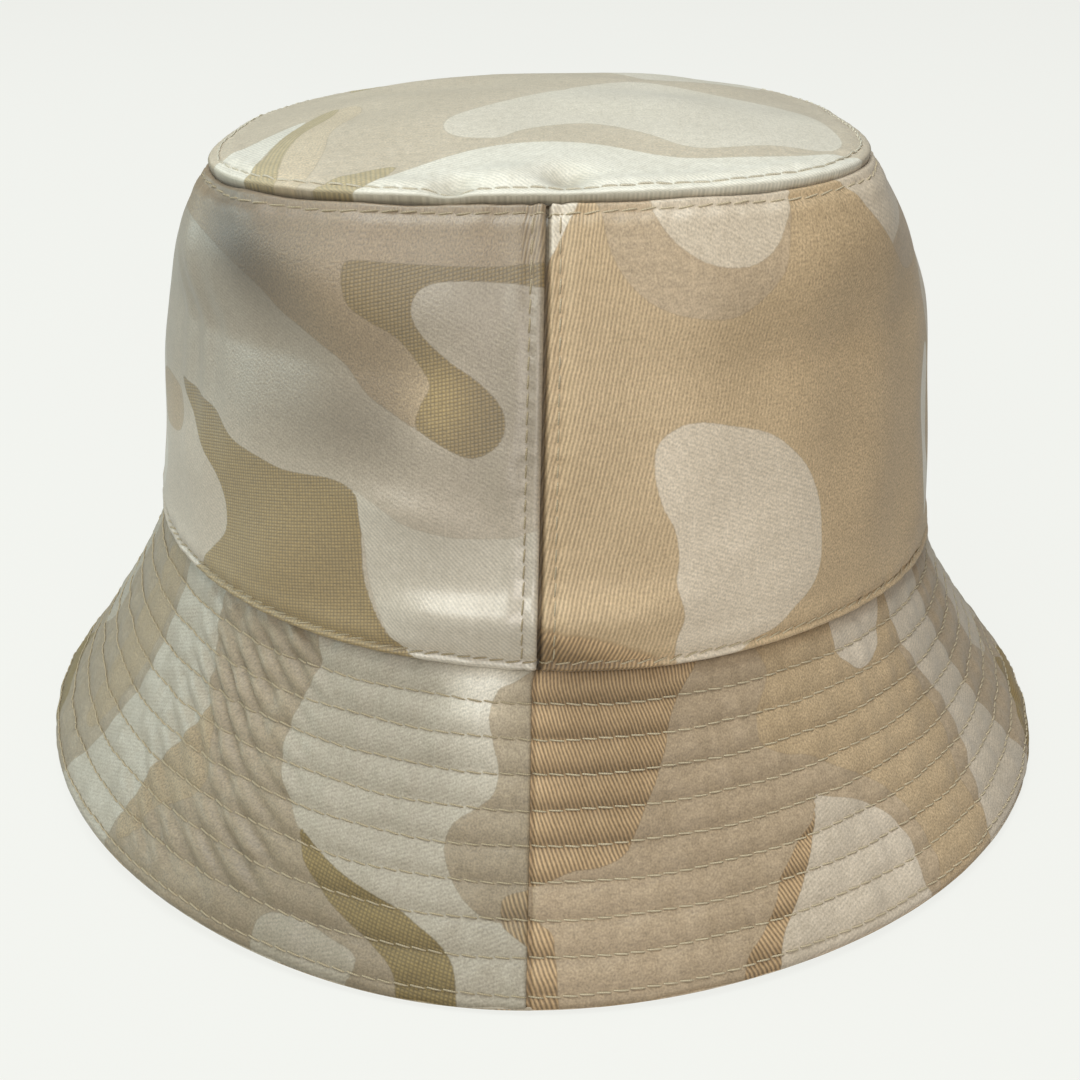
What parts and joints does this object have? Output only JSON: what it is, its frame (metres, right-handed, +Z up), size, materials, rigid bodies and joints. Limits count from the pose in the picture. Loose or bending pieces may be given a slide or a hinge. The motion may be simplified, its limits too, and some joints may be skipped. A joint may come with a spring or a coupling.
{
  "type": "bucket hat",
  "caption": "Soft bucket hat with a domed top, panelled crown wall, sloping quilted brim, lining and sweatband, sewn from camouflage satin.",
  "frame": {"origin": "centre of the brim's edge, in the plane that the hat stands on", "axes": "+Z up through the crown, -Y towards the front seam that the picture shows, +X to the right in the picture"},
  "size_m": [0.2556, 0.2556, 0.154],
  "materials": {
    "outer_cloth": "satin camouflage in sand, khaki and cream",
    "under_cloth": "satin camouflage in sand, khaki and cream",
    "interlining": "matt felted sheet",
    "lining_cloth": "plain smooth weave",
    "sweatband_cloth": "matt twill",
    "thread": "spun thread"
  },
  "bodies": {
    "root": {"crown_top": "outer_cloth", "side_panel_left": "outer_cloth", "side_panel_right": "outer_cloth", "brim_top_left": "outer_cloth", "brim_top_right": "outer_cloth", "brim_under_left": "under_cloth", "brim_under_right": "under_cloth", "brim_interlining_left": "interlining", "brim_interlining_right": "interlining", "lining_top": "lining_cloth", "lining_side_left": "lining_cloth", "lining_side_right": "lining_cloth", "sweatband": "sweatband_cloth", "crown_top_stitching": "thread", "crown_wall_stitching": "thread", "front_seam_stitching": "thread", "back_seam_stitching": "thread", "crown_foot_stitching": "thread", "brim_row_stitching": "thread", "brim_row_under_stitching": "thread", "brim_edge_stitching": "thread", "brim_edge_under_stitching": "thread", "sweatband_stitching": "thread"}
  },
  "joints": []
}
